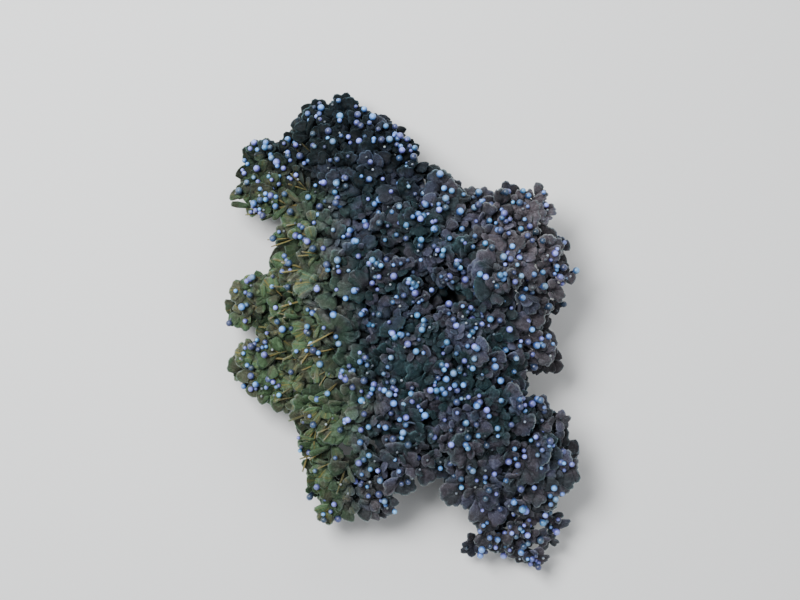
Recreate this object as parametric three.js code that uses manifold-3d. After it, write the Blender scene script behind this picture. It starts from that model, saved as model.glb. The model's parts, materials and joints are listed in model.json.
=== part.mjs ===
// A branching sea anemone, life size, standing on its pedal disc with its crown spread.
//
// From the floor up: the pedal disc, the column, the oral disc with its mouth and true
// tentacles, and a whorl of pseudotentacles that leave the column just under the oral disc.
// Each pseudotentacle is a trunk that forks into two boughs, and each bough into two sprays.
// A spray ends in crests: frilled pads of flesh, each with a round vesicle on top.
//
// Millimetres, +Z up. The origin is the middle of the pedal disc's underside.

import * as THREE from "three";
import { mergeVertices } from "three/addons/utils/BufferGeometryUtils.js";
import Module from "manifold-3d";

const wasm = await Module();
wasm.setup();

// ---------------------------------------------------------------- driving dimensions

const PEDAL_RADIUS = 25;
const PEDAL_THICKNESS = 5;
const WAIST_RADIUS = 16;
const COLLAR_RADIUS = 19;
const COLUMN_TOP = 30;
const DISC_RADIUS = 15;
const DISC_THICKNESS = 3;
const DISC_FLOOR = COLUMN_TOP - 1.8; // the oral disc is let into the column's top
const MOUTH_LENGTH = 9;
const MOUTH_WIDTH = 6;

const TENTACLE_ROWS = [
  { count: 9, ring: 9.5, length: 8, radius: 0.9, lean: 25 },
  { count: 14, ring: 12.5, length: 9, radius: 1.0, lean: 48 },
];

const TENTACLE_TIP = 0.5;

// The crown. Each pseudotentacle spreads like a fan over the plan, out to the given reach, and
// its crests droop towards the tip.
const PSEUDOTENTACLES = [
  { azimuth: -20, reach: 46, halfWidth: 20 },
  { azimuth: 43, reach: 59, halfWidth: 20 },
  { azimuth: 107, reach: 80, halfWidth: 16 },
  { azimuth: 135, reach: 93, halfWidth: 27 },
  { azimuth: 194, reach: 78, halfWidth: 31 },
  { azimuth: 242, reach: 94, halfWidth: 21 },
  { azimuth: 290, reach: 102, halfWidth: 23 },
];
const FAN_FULLNESS = 1.7; // sets how far out a fan is widest
const FAN_BLUNTNESS = 0.55;
const FIRST_TRUNK_AZIMUTH = -10;
const CROWN_HEIGHT = 43;
const CROWN_RADIUS = 33; // inside it the crests of all the pseudotentacles meet
const CROWN_OPENING = 9.5; // no crest stands nearer to the mouth than this
const INNER_CRESTS = 20; // crests nearer than this grow straight from a trunk
const DROOP = 0.34; // fall of a tip, as a share of the reach
const DROOP_POWER = 1.7;

const TRUNK_ROOT = { radius: 14, height: 24 };
const TRUNK_END = 22; // distance of the first fork from the column's axis
const TRUNK_THICKNESS = 4.2;
const STEM_THICKNESS = 1.1; // radius of a limb that carries one crest
const LIMB_GROWTH = 0.46; // a limb with n crests is thicker by the power of n
const LIMB_SINK = 1.9; // how far limbs run below their crests, as they thicken
const LIMB_SHARE = 0.5; // how far a limb goes towards the middle of its crests
const LIMB_OVERSHOOT = 0.8; // a limb runs past its fork by this share of its thickness

const CREST_SPACING = 8.4;
const CREST_RADIUS = 7.7;
const CREST_SIDES = 6;
const CREST_UNEVENNESS = 0.15;
const CREST_DEPTH = 2.2;
const CREST_RISE = 1.1;
const CREST_VARIETY = { distance: 0.9, height: 1.2, tilt: 0.18, size: 0.08 };
const VESICLE_RADIUS = 1.5;
const VESICLE_NECK = 0.9;

const GAP = 0.3; // clearance between two neighbouring solids

// ---------------------------------------------------------------- regular irregularity

const GOLDEN_TURN = Math.PI * (3 - Math.sqrt(5));
const GOLDEN_SHARE = 0.618034;

// A steady, even-handed variation between -1 and 1 for the k-th of a series.
const wobble = (k) => 2 * ((k * GOLDEN_SHARE) % 1) - 1;

const radians = THREE.MathUtils.degToRad;
const lerp = THREE.MathUtils.lerp;

// ---------------------------------------------------------------- solids

// A closed three.js geometry as a manifold-3d solid.
function solidOf(geometry) {
  geometry.deleteAttribute("normal");
  geometry.deleteAttribute("uv");
  const merged = mergeVertices(geometry, 1e-4);
  return new wasm.Manifold(
    new wasm.Mesh({
      numProp: 3,
      vertProperties: merged.getAttribute("position").array,
      triVerts: new Uint32Array(merged.index.array),
    }),
  );
}

// Moves every vertex of a geometry by a function of its place.
function reshape(geometry, move) {
  const places = geometry.getAttribute("position");
  const p = new THREE.Vector3();
  for (let i = 0; i < places.count; i++) {
    p.fromBufferAttribute(places, i);
    move(p);
    places.setXYZ(i, p.x, p.y, p.z);
  }
  return geometry;
}

// A lathed body about the vertical axis, from [radius, height] pairs listed from the floor up.
function turned(profile, segments, grow, bulge = () => 1) {
  const points = profile.map(([r, z]) => new THREE.Vector2(r === 0 ? 0 : r + grow, z));
  points[0].y -= grow;
  points[points.length - 1].y += grow;
  const geometry = new THREE.LatheGeometry(points, segments);
  geometry.rotateX(Math.PI / 2);
  reshape(geometry, (p) => {
    const k = bulge(Math.atan2(p.y, p.x), p.z);
    p.x *= k;
    p.y *= k;
  });
  return solidOf(geometry);
}

// A limb of flesh: a cylinder whose rings are moved onto a curve, thinning towards its end.
function limb(curve, radiusStart, radiusEnd, sides, rings, grow) {
  const frames = curve.computeFrenetFrames(rings, false);
  const geometry = new THREE.CylinderGeometry(1, 1, 1, sides, rings);
  reshape(geometry, (p) => {
    const ring = Math.round((p.y + 0.5) * rings);
    const radius = lerp(radiusStart, radiusEnd, ring / rings) + grow;
    const past = ring === 0 ? -grow : ring === rings ? grow : 0;
    const { x, z } = p;
    p.copy(curve.getPointAt(ring / rings))
      .addScaledVector(frames.tangents[ring], past)
      .addScaledVector(frames.binormals[ring], x * radius)
      .addScaledVector(frames.normals[ring], z * radius);
  });
  return solidOf(geometry);
}

// A crest: a shallow pad of flesh with an uneven rim, and a round vesicle in its middle.
function crestPad(crest, grow) {
  const profile = [
    [0, -CREST_DEPTH - grow],
    [crest.radius + grow, 0],
    [VESICLE_NECK + grow, CREST_RISE],
    [VESICLE_RADIUS + grow, CREST_RISE + VESICLE_RADIUS],
    [0, CREST_RISE + 2 * VESICLE_RADIUS + grow],
  ];
  const pad = new THREE.LatheGeometry(
    profile.map(([r, z]) => new THREE.Vector2(r, z)),
    CREST_SIDES,
  );
  reshape(pad, (p) => {
    if (p.y !== 0) return;
    const side = Math.round((Math.atan2(p.x, p.z) / (2 * Math.PI) + 1) * CREST_SIDES) % CREST_SIDES;
    const k = 1 + CREST_UNEVENNESS * wobble(crest.number + 5 * side);
    p.x *= k;
    p.z *= k;
  });
  const up = new THREE.Vector3(0, 1, 0);
  pad.applyQuaternion(new THREE.Quaternion().setFromUnitVectors(up, crest.normal));
  pad.translate(crest.place.x, crest.place.y, crest.place.z);
  return solidOf(pad);
}

// ---------------------------------------------------------------- the crown's layout

// How far aside a plan point is in a pseudotentacle's fan: below 1 is inside.
function fanMeasure({ azimuth, reach, halfWidth }, x, y) {
  const a = radians(azimuth);
  const along = (x * Math.cos(a) + y * Math.sin(a)) / reach;
  const across = Math.abs(y * Math.cos(a) - x * Math.sin(a)) / halfWidth;
  if (along <= 0 || along >= 1) return Infinity;
  return across / Math.sin(Math.PI * along ** FAN_FULLNESS) ** FAN_BLUNTNESS;
}

// The height of the crests over a plan point.
function canopy({ reach }, x, y) {
  return CROWN_HEIGHT - DROOP * reach * (Math.hypot(x, y) / reach) ** DROOP_POWER;
}

// A point below the canopy.
function under(fan, x, y, depth) {
  return new THREE.Vector3(x, y, canopy(fan, x, y) - depth);
}

// The crests stand at an even spacing, as the florets of a sunflower do, wherever a fan or the
// middle of the crown covers them. Each belongs to the pseudotentacle that it is least aside of.
function layOutCrests() {
  const fans = PSEUDOTENTACLES.map((fan) => ({ ...fan, crests: [] }));
  const furthest = Math.max(...fans.map((fan) => fan.reach)) + CREST_RADIUS;
  for (let n = 1; CREST_SPACING * Math.sqrt(n) < furthest; n++) {
    const r = CREST_SPACING * Math.sqrt(n) + CREST_VARIETY.distance * wobble(3 * n);
    const turn = n * GOLDEN_TURN;
    const x = r * Math.cos(turn);
    const y = r * Math.sin(turn);
    const nearest = fans.reduce((a, b) => (fanMeasure(b, x, y) < fanMeasure(a, x, y) ? b : a));
    if (r < CROWN_OPENING) continue;
    if (r > CROWN_RADIUS && fanMeasure(nearest, x, y) > 1) continue;
    const place = under(nearest, x, y, CREST_VARIETY.height * wobble(5 * n));
    const slope = (DROOP * DROOP_POWER * (r / nearest.reach) ** (DROOP_POWER - 1)) / r;
    const normal = new THREE.Vector3(
      x * slope + CREST_VARIETY.tilt * wobble(7 * n),
      y * slope + CREST_VARIETY.tilt * wobble(11 * n),
      1,
    ).normalize();
    const radius = CREST_RADIUS * (1 + CREST_VARIETY.size * wobble(13 * n));
    nearest.crests.push({ number: n, place, normal, radius, r });
  }
  return fans;
}

// The radius of a limb that carries n crests, and how far it runs below the canopy.
const thickness = (n) => STEM_THICKNESS * n ** LIMB_GROWTH;
const sink = (n) => CREST_DEPTH + LIMB_SINK * n ** LIMB_GROWTH;

// The two halves of a set of crests, as seen from a fork, and the point each limb grows to.
function fork(fan, crests, start) {
  const a = radians(fan.azimuth);
  const bearing = ({ place }) => {
    const dx = place.x - start.x;
    const dy = place.y - start.y;
    return Math.atan2(dy * Math.cos(a) - dx * Math.sin(a), dx * Math.cos(a) + dy * Math.sin(a));
  };
  const sorted = [...crests].sort((p, q) => bearing(p) - bearing(q));
  const middle = Math.ceil(sorted.length / 2);
  return [sorted.slice(0, middle), sorted.slice(middle)]
    .filter((half) => half.length)
    .map((half) => {
      const x = half.reduce((sum, c) => sum + c.place.x, 0) / half.length;
      const y = half.reduce((sum, c) => sum + c.place.y, 0) / half.length;
      const depth = sink(half.length);
      const end = under(fan, lerp(start.x, x, LIMB_SHARE), lerp(start.y, y, LIMB_SHARE), depth);
      return { crests: half, end };
    });
}

// A limb runs straight from fork to fork and a little past the second, as its knuckle.
function limbTo(start, end, count, grow) {
  const thick = thickness(count);
  const along = end.clone().sub(start).normalize();
  const past = count > 1 ? LIMB_OVERSHOOT * thick : 0;
  const line = new THREE.LineCurve3(start, end.clone().addScaledVector(along, past));
  return limb(line, thick, 0.95 * thick, 4, 1, grow);
}

// All that grows from a fork: limbs that fork again until each carries a single crest.
function growth(fan, crests, start, grow) {
  return fork(fan, crests, start).flatMap((half) => {
    const count = half.crests.length;
    if (count > 1) {
      return [limbTo(start, half.end, count, grow), ...growth(fan, half.crests, half.end, grow)];
    }
    const [crest] = half.crests;
    const foot = crest.place.clone().addScaledVector(crest.normal, -0.5 * CREST_DEPTH);
    return [limbTo(start, foot, 1, grow), crestPad(crest, grow)];
  });
}

const joined = (solids) => solids.reduce((whole, next) => whole.add(next));

// ---------------------------------------------------------------- nodes

const COLOURS = {
  foot: { color: 0x6b5a4c, roughness: 0.6 },
  column: { color: 0x6e5c4e, roughness: 0.55 },
  disc: { color: 0x4c443f, roughness: 0.5 },
  mouth: { color: 0x8d7a70, roughness: 0.5 },
  pseudotentacle: { color: 0x5b5350, roughness: 0.5 },
};

const anemone = new THREE.Group();
const placed = [];

// True if two solids' boxes come within the clearance of each other.
function near(a, b) {
  const p = a.boundingBox();
  const q = b.boundingBox();
  return [0, 1, 2].every((i) => p.min[i] <= q.max[i] + GAP && q.min[i] <= p.max[i] + GAP);
}

// Adds a node: the solid that build(0) makes, less the room that its earlier neighbours need.
function place(name, slot, build) {
  const tool = build(GAP);
  const whole = placed
    .filter((other) => near(tool, other.tool))
    .reduce((rest, other) => rest.subtract(other.tool), build(0));
  const solid = whole.decompose().reduce((a, b) => (b.volume() > a.volume() ? b : a));
  placed.push({ tool });
  const { vertProperties, triVerts, numProp } = solid.getMesh();
  const positions = new Float32Array((vertProperties.length / numProp) * 3);
  for (let i = 0; i < positions.length / 3; i++) {
    positions.set(vertProperties.subarray(i * numProp, i * numProp + 3), i * 3);
  }
  const geometry = new THREE.BufferGeometry();
  geometry.setAttribute("position", new THREE.BufferAttribute(positions, 3));
  geometry.setIndex(new THREE.BufferAttribute(triVerts, 1));
  geometry.computeVertexNormals();
  const mesh = new THREE.Mesh(geometry, new THREE.MeshStandardMaterial(COLOURS[slot]));
  mesh.name = name;
  anemone.add(mesh);
}

// The pedal disc grips the ground with an uneven, spreading edge.
const ragged = (turn) => 1 + 0.05 * Math.sin(5 * turn) + 0.03 * Math.sin(11 * turn + 1);

place("pedal_disc", "foot", (grow) =>
  turned(
    [
      [0, 0],
      [PEDAL_RADIUS - 1, 0],
      [PEDAL_RADIUS, 1.2],
      [PEDAL_RADIUS - 3, 3],
      [WAIST_RADIUS + 2.5, PEDAL_THICKNESS],
      [0, PEDAL_THICKNESS],
    ],
    28,
    grow,
    (turn, z) => (z < PEDAL_THICKNESS ? ragged(turn) : 1),
  ),
);

// The mouth stands up as an oval cone with a slit between its lips.
place("mouth", "mouth", (grow) => {
  const base = DISC_FLOOR + 0.5 * DISC_THICKNESS;
  const lips = turned(
    [
      [0, base],
      [MOUTH_WIDTH / 2 + 0.6, base],
      [MOUTH_WIDTH / 2 - 0.4, base + 2.6],
      [MOUTH_WIDTH / 2 - 1.1, base + 2.8],
      [MOUTH_WIDTH / 2 - 1.7, base + 1.2],
      [0, base + 1.0],
    ],
    12,
    grow,
  );
  return lips.scale([MOUTH_LENGTH / MOUTH_WIDTH, 1, 1]);
});

// A true tentacle, the i-th of its row: it stands out of the oral disc and leans outwards.
function tentacle(row, i, grow) {
  const turn = (i / row.count) * 2 * Math.PI;
  const lean = radians(row.lean + 8 * wobble(i));
  const out = new THREE.Vector3(Math.cos(turn), Math.sin(turn), 0);
  const root = out.clone().multiplyScalar(row.ring).setZ(DISC_FLOOR + 0.5 * DISC_THICKNESS);
  const reach = row.ring + row.length * Math.sin(lean);
  const tip = out.multiplyScalar(reach).setZ(root.z + row.length * Math.cos(lean));
  return limb(new THREE.LineCurve3(root, tip), row.radius, TENTACLE_TIP, 4, 1, grow);
}

// The oral disc, with the true tentacles in two rows round the mouth.
place("oral_disc", "disc", (grow) => {
  const disc = turned(
    [
      [0, DISC_FLOOR],
      [DISC_RADIUS - 2, DISC_FLOOR],
      [DISC_RADIUS, DISC_FLOOR + DISC_THICKNESS - 0.8],
      [DISC_RADIUS - 1.2, DISC_FLOOR + DISC_THICKNESS],
      [MOUTH_WIDTH, DISC_FLOOR + DISC_THICKNESS - 1],
      [0, DISC_FLOOR + DISC_THICKNESS - 1.2],
    ],
    18,
    grow,
  );
  const tentacles = TENTACLE_ROWS.flatMap((row, r) =>
    Array.from({ length: row.count }, (_, i) => tentacle(row, i + 0.5 * r, grow)),
  );
  return joined([disc, ...tentacles]);
});

// The column: a stout stalk with a waist and a collar. The oral disc is let into its top.
place("column", "column", (grow) =>
  turned(
    [
      [0, PEDAL_THICKNESS + GAP],
      [WAIST_RADIUS + 2, PEDAL_THICKNESS + GAP],
      [WAIST_RADIUS + 0.5, 9],
      [WAIST_RADIUS, 14],
      [WAIST_RADIUS + 0.8, 20],
      [COLLAR_RADIUS, COLUMN_TOP - 3],
      [COLLAR_RADIUS - 0.8, COLUMN_TOP],
      [0, COLUMN_TOP],
    ],
    18,
    grow,
  ),
);

// The pseudotentacles, each a trunk, two boughs and up to four sprays.
layOutCrests().forEach((fan, k) => {
  const name = `pseudotentacle_${k + 1}`;
  const turn = radians(FIRST_TRUNK_AZIMUTH + (360 / PSEUDOTENTACLES.length) * k);
  const root = new THREE.Vector3(
    TRUNK_ROOT.radius * Math.cos(turn),
    TRUNK_ROOT.radius * Math.sin(turn),
    TRUNK_ROOT.height,
  );
  const heading = (turn + radians(fan.azimuth)) / 2;
  const trunkEnd = under(
    fan,
    TRUNK_END * Math.cos(heading),
    TRUNK_END * Math.sin(heading),
    sink(fan.crests.length),
  );
  const inner = fan.crests.filter((crest) => crest.r < INNER_CRESTS);
  const outer = fan.crests.filter((crest) => crest.r >= INNER_CRESTS);

  place(`${name}_trunk`, "pseudotentacle", (grow) => {
    const elbow = root.clone().lerp(trunkEnd, 0.6).setZ(lerp(root.z, trunkEnd.z, 0.35));
    const curve = new THREE.QuadraticBezierCurve3(root, elbow, trunkEnd);
    const wood = limb(curve, TRUNK_THICKNESS, thickness(outer.length), 6, 2, grow);
    return joined([wood, ...growth(fan, inner, trunkEnd, grow)]);
  });

  fork(fan, outer, trunkEnd).forEach((bough, b) => {
    const boughName = `${name}_bough_${"ab"[b]}`;
    place(boughName, "pseudotentacle", (grow) =>
      limbTo(trunkEnd, bough.end, bough.crests.length, grow),
    );
    fork(fan, bough.crests, bough.end).forEach((spray, s) => {
      place(`${name}_spray_${"ab"[b]}${s + 1}`, "pseudotentacle", (grow) =>
        joined([
          limbTo(bough.end, spray.end, spray.crests.length, grow),
          ...growth(fan, spray.crests, spray.end, grow),
        ]),
      );
    });
  });
});

export default anemone;
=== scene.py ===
# %% [markdown]
# # A branching sea anemone
#
# This animal has two kinds of arms. The true tentacles ring the mouth and are drawn in by day.
# What shows instead is a crown of pseudotentacles: outgrowths of the column that fork again and
# again and end in whorls of small leafy fronds, with round stinging vesicles sitting on them.
#
# The lesson builds it in the animal's own order: a rule that lays out the crown, one skin of
# flesh for everything thick, then fronds and vesicles that Geometry Nodes set on the skin.

import json
import math
from types import SimpleNamespace

import bpy
import numpy as np
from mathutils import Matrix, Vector

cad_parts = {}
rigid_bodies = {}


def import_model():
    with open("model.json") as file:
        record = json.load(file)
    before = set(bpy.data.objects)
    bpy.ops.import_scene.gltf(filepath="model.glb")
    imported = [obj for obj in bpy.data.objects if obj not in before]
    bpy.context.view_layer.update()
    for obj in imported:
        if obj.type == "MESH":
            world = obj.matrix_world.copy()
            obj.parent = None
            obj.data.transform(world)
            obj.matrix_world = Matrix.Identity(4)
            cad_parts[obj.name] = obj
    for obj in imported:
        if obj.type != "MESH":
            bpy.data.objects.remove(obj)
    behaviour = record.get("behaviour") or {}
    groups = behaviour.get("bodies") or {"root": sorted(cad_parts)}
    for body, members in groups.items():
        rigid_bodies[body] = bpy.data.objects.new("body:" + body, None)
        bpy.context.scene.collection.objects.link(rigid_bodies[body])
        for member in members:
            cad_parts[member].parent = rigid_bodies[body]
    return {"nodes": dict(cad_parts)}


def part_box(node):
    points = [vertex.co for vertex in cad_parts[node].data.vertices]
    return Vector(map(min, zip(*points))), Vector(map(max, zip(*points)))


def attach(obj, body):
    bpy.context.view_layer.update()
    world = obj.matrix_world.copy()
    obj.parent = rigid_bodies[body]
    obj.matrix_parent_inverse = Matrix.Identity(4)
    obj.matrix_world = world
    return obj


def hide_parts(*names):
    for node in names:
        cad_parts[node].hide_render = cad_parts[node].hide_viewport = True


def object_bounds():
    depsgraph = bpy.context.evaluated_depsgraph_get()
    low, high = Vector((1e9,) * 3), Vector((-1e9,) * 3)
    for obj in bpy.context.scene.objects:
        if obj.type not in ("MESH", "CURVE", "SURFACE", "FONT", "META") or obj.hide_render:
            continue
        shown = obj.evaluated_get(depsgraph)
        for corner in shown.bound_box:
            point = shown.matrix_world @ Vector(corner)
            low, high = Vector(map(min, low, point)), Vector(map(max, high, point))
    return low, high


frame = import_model()
cad_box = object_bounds()
MM = 0.001

_, foot_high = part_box("pedal_disc")
_, column_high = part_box("column")
disc_low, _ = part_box("oral_disc")
mouth_low, mouth_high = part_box("mouth")
print("nodes", len(frame["nodes"]), "box", cad_box)

# %% [markdown]
# ## Camera, floor and light
#
# The crown is a shallow dome, best seen from almost straight above. The camera leans back five
# degrees, so that "up" in the picture is still the animal's far side. A large soft lamp from the
# upper left models the round vesicles, and a pale floor and sky fill the shadows.

# %% Camera
CAMERA_ELEVATION = math.radians(85)
CAMERA_DISTANCE = 0.70
CAMERA_LENS = 85
CAMERA_NEAREST = 10 * MM
CROWN_MIDDLE = (-15.5 * MM, 0.5 * MM)
AIM_HEIGHT = 0.7


def new_object(name, data):
    """An object in the scene."""
    made = bpy.data.objects.new(name, data)
    bpy.context.scene.collection.objects.link(made)
    return made


aim = Vector((*CROWN_MIDDLE, AIM_HEIGHT * cad_box[1][2]))
back = Vector((0, -math.cos(CAMERA_ELEVATION), math.sin(CAMERA_ELEVATION)))
camera = new_object("camera", bpy.data.cameras.new("camera"))
camera.data.lens = CAMERA_LENS
camera.data.clip_start = CAMERA_NEAREST
camera.location = aim + CAMERA_DISTANCE * back
camera.rotation_euler = back.to_track_quat("Z", "Y").to_euler()
bpy.context.scene.camera = camera
print("camera at", tuple(round(v, 3) for v in camera.location))


# %% Floor
FLOOR_HALF = 3.0


def new_mesh(name, vertices, faces=()):
    """A mesh from its vertices and faces."""
    mesh = bpy.data.meshes.new(name)
    mesh.from_pydata(vertices, [], faces)
    return mesh


def principled(name):
    """A new material and its Principled BSDF node."""
    material = bpy.data.materials.new(name)
    material.use_nodes = True
    return material, material.node_tree.nodes["Principled BSDF"]


corners = [(FLOOR_HALF * x, FLOOR_HALF * y, 0) for x, y in ((-1, -1), (1, -1), (1, 1), (-1, 1))]
floor = new_object("floor", new_mesh("floor", corners, [(0, 1, 2, 3)]))
floor_material, floor_shader = principled("floor_paper")
floor_shader.inputs["Base Color"].default_value = (0.80, 0.81, 0.81, 1)
floor_shader.inputs["Roughness"].default_value = 0.9
floor.data.materials.append(floor_material)
print("floor", 2 * FLOOR_HALF, "m wide")


# %% Lights
def softbox(name, place, size, watts, colour=(1, 1, 1)):
    """A square area lamp that looks at the crown."""
    lamp = new_object(name, bpy.data.lights.new(name, "AREA"))
    lamp.data.size = size
    lamp.data.energy = watts
    lamp.data.color = colour
    lamp.location = place
    lamp.rotation_euler = (Vector(place) - aim).to_track_quat("Z", "Y").to_euler()
    return lamp


lamps = [
    softbox("key", (-0.30, 0.20, 0.68), 0.35, 9.5),
    softbox("fill", (0.50, -0.25, 0.45), 0.60, 1.5),
    softbox("rim", (0.10, 0.60, 0.35), 0.40, 1.5),
]

world = bpy.data.worlds.new("studio")
bpy.context.scene.world = world
world.use_nodes = True
sky = world.node_tree.nodes["Background"]
sky.inputs["Color"].default_value = (0.85, 0.88, 0.92, 1)
sky.inputs["Strength"].default_value = 0.30
print("lamps", [lamp.name for lamp in lamps])

# %% [markdown]
# ## The rule of the crown
#
# The crests of the crown stand as the florets of a sunflower do, each a golden turn further on
# and a little further out. That spacing is even without being a grid. Seven fan-shaped
# territories, one for each pseudotentacle, say which places are taken. A fan points to one side
# and has a reach and a width. Its fullness moves its widest place outwards, and its bluntness
# rounds its end. A steady wobble, worked out from the crest's number, keeps the crests from
# looking stamped, and gives the same crown each run.

# %% Dimensions of the crown
Fan = SimpleNamespace
FANS = [
    Fan(azimuth=-20, reach=46 * MM, half_width=20 * MM),
    Fan(azimuth=43, reach=59 * MM, half_width=20 * MM),
    Fan(azimuth=107, reach=80 * MM, half_width=16 * MM),
    Fan(azimuth=135, reach=93 * MM, half_width=27 * MM),
    Fan(azimuth=194, reach=78 * MM, half_width=31 * MM),
    Fan(azimuth=242, reach=94 * MM, half_width=21 * MM),
    Fan(azimuth=290, reach=102 * MM, half_width=23 * MM),
]
FAN_FULLNESS = 1.7
FAN_BLUNTNESS = 0.55
CROWN_HEIGHT = 43 * MM
CROWN_RADIUS = 33 * MM
CROWN_OPENING = 9.5 * MM
DROOP = 0.34
DROOP_POWER = 1.7
CREST_SPACING = 8.4 * MM
CREST_RADIUS = 7.7 * MM
CREST_DEPTH = 2.2 * MM
CREST_JITTER = 0.9 * MM
CREST_UNEVENNESS = 1.2 * MM
CREST_TILT = 0.18

GOLDEN_TURN = math.pi * (3 - math.sqrt(5))
GOLDEN_SHARE = 0.618034


def wobble(k):
    """A steady, even-handed variation between -1 and 1 for the k-th of a series. A multiple of k
    gives another series."""
    return 2 * ((k * GOLDEN_SHARE) % 1) - 1


# %% Lay out the crests
def fan_measure(fan, x, y):
    """How far aside a plan point is in a fan: below 1 is inside."""
    a = math.radians(fan.azimuth)
    along = (x * math.cos(a) + y * math.sin(a)) / fan.reach
    across = abs(y * math.cos(a) - x * math.sin(a)) / fan.half_width
    if along <= 0 or along >= 1:
        return math.inf
    return across / math.sin(math.pi * along**FAN_FULLNESS) ** FAN_BLUNTNESS


def canopy(fan, x, y):
    """The height of the crests over a plan point."""
    return CROWN_HEIGHT - DROOP * fan.reach * (math.hypot(x, y) / fan.reach) ** DROOP_POWER


def canopy_normal(fan, x, y, k, tilt):
    """The canopy's upward normal there, tipped a little for the k-th of a series."""
    r = math.hypot(x, y)
    slope = DROOP * DROOP_POWER * (r / fan.reach) ** (DROOP_POWER - 1) / r
    lean = Vector((tilt * wobble(7 * k), tilt * wobble(11 * k), 0))
    return (Vector((x * slope, y * slope, 1)) + lean).normalized()


def sunflower(spacing, furthest, jitter):
    """Numbered plan points, a golden turn apart, out to the furthest distance."""
    n = 1
    while spacing * math.sqrt(n) < furthest:
        r = spacing * math.sqrt(n) + jitter * wobble(3 * n)
        yield n, r * math.cos(n * GOLDEN_TURN), r * math.sin(n * GOLDEN_TURN)
        n += 1


furthest = max(fan.reach for fan in FANS) + CREST_RADIUS
for fan in FANS:
    fan.crests = []
for n, x, y in sunflower(CREST_SPACING, furthest, CREST_JITTER):
    fan = min(FANS, key=lambda f: fan_measure(f, x, y))
    r = math.hypot(x, y)
    if r < CROWN_OPENING or (r > CROWN_RADIUS and fan_measure(fan, x, y) > 1):
        continue
    place = Vector((x, y, canopy(fan, x, y) - CREST_UNEVENNESS * wobble(5 * n)))
    normal = canopy_normal(fan, x, y, n, CREST_TILT)
    fan.crests.append(SimpleNamespace(number=n, place=place, normal=normal, r=r, fan=fan))
crests = [crest for fan in FANS for crest in fan.crests]
print("crests", [len(fan.crests) for fan in FANS])

# %% [markdown]
# ## Branches
#
# A pseudotentacle forks in two, again and again, until each limb carries one crest. So the rule
# is recursive: split the crests into a left and a right half as seen from the fork, grow a limb
# half-way towards the middle of each, and start again there. A limb is thicker the more crests
# it carries, and broader than deep. The result is only a list of curves, each with its radius
# at both ends and its flatness, which the skin then covers.

# %% Dimensions of the limbs
TRUNK_ROOT_RADIUS = 14 * MM
TRUNK_ROOT_HEIGHT = 24 * MM
TRUNK_END = 22 * MM
TRUNK_THICKNESS = 4.2 * MM
TRUNK_FLATNESS = 0.4
ELBOW_SHARE = 0.6
ELBOW_LIFT = 0.35
FIRST_TRUNK_AZIMUTH = -10
STEM_THICKNESS = 1.1 * MM
LIMB_GROWTH = 0.46
LIMB_SINK = 1.9 * MM
LIMB_SHARE = 0.5
LIMB_ARCH = 0.06
LIMB_TAPER = 0.85
LIMB_FLATNESS = 0.9
CREST_STALK = 1.2 * CREST_DEPTH
INNER_CRESTS = 20 * MM


def thickness(count):
    """The radius of a limb that carries so many crests."""
    return STEM_THICKNESS * count**LIMB_GROWTH


def under(fan, x, y, depth):
    """A point that far below the canopy."""
    return Vector((x, y, canopy(fan, x, y) - depth))


def sink(count):
    """How far below the canopy such a limb runs."""
    return CREST_DEPTH + LIMB_SINK * count**LIMB_GROWTH


# %% Grow the limbs
limbs = []


def lerp(a, b, t):
    """The value that share of the way from a to b."""
    return a + (b - a) * t


def shares(count):
    """Evenly spaced numbers from 0 to 1, both ends included."""
    return [i / (count - 1) for i in range(count)]


def toward(angle):
    """The level unit vector in the direction of an angle."""
    return Vector((math.cos(angle), math.sin(angle), 0))


def arc(start, middle, end, count=6):
    """Points along a smooth arc that leaves start towards middle and comes in from it."""
    return [
        (1 - t) ** 2 * start + 2 * t * (1 - t) * middle + t**2 * end
        for t in shares(count)
    ]


def fork(fan, members, start):
    """The two halves of some crests, as seen from a fork, with the point each limb grows to."""
    a = math.radians(fan.azimuth)

    def bearing(crest):
        d = crest.place - start
        return math.atan2(
            d.y * math.cos(a) - d.x * math.sin(a), d.x * math.cos(a) + d.y * math.sin(a)
        )

    ordered = sorted(members, key=bearing)
    middle = math.ceil(len(ordered) / 2)
    for half in (ordered[:middle], ordered[middle:]):
        if half:
            x = lerp(start.x, sum(c.place.x for c in half) / len(half), LIMB_SHARE)
            y = lerp(start.y, sum(c.place.y for c in half) / len(half), LIMB_SHARE)
            yield half, under(fan, x, y, sink(len(half)))


def grow(fan, members, start):
    """Limbs that fork again until each carries a single crest."""
    for half, end in fork(fan, members, start):
        thick = thickness(len(half))
        if len(half) == 1:
            crest = half[0]
            end = crest.place - CREST_STALK * crest.normal
            crest.foot = end
        middle = start.lerp(end, 0.5) + Vector((0, 0, LIMB_ARCH * (end - start).length))
        limbs.append((arc(start, middle, end), thick, LIMB_TAPER * thick, LIMB_FLATNESS))
        if len(half) > 1:
            grow(fan, half, end)


for k, fan in enumerate(FANS):
    turn = math.radians(FIRST_TRUNK_AZIMUTH + 360 / len(FANS) * k)
    root = toward(turn) * TRUNK_ROOT_RADIUS
    root.z = TRUNK_ROOT_HEIGHT
    out = toward((turn + math.radians(fan.azimuth)) / 2) * TRUNK_END
    trunk_end = under(fan, out.x, out.y, sink(len(fan.crests)))
    elbow = root.lerp(trunk_end, ELBOW_SHARE)
    elbow.z = lerp(root.z, trunk_end.z, ELBOW_LIFT)
    inner = [c for c in fan.crests if c.r < INNER_CRESTS]
    outer = [c for c in fan.crests if c.r >= INNER_CRESTS]
    bole = arc(root, elbow, trunk_end, 10)
    limbs.append((bole, TRUNK_THICKNESS, thickness(len(outer)), TRUNK_FLATNESS))
    grow(fan, inner, trunk_end)
    grow(fan, outer, trunk_end)
print("limbs", len(limbs))

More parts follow.
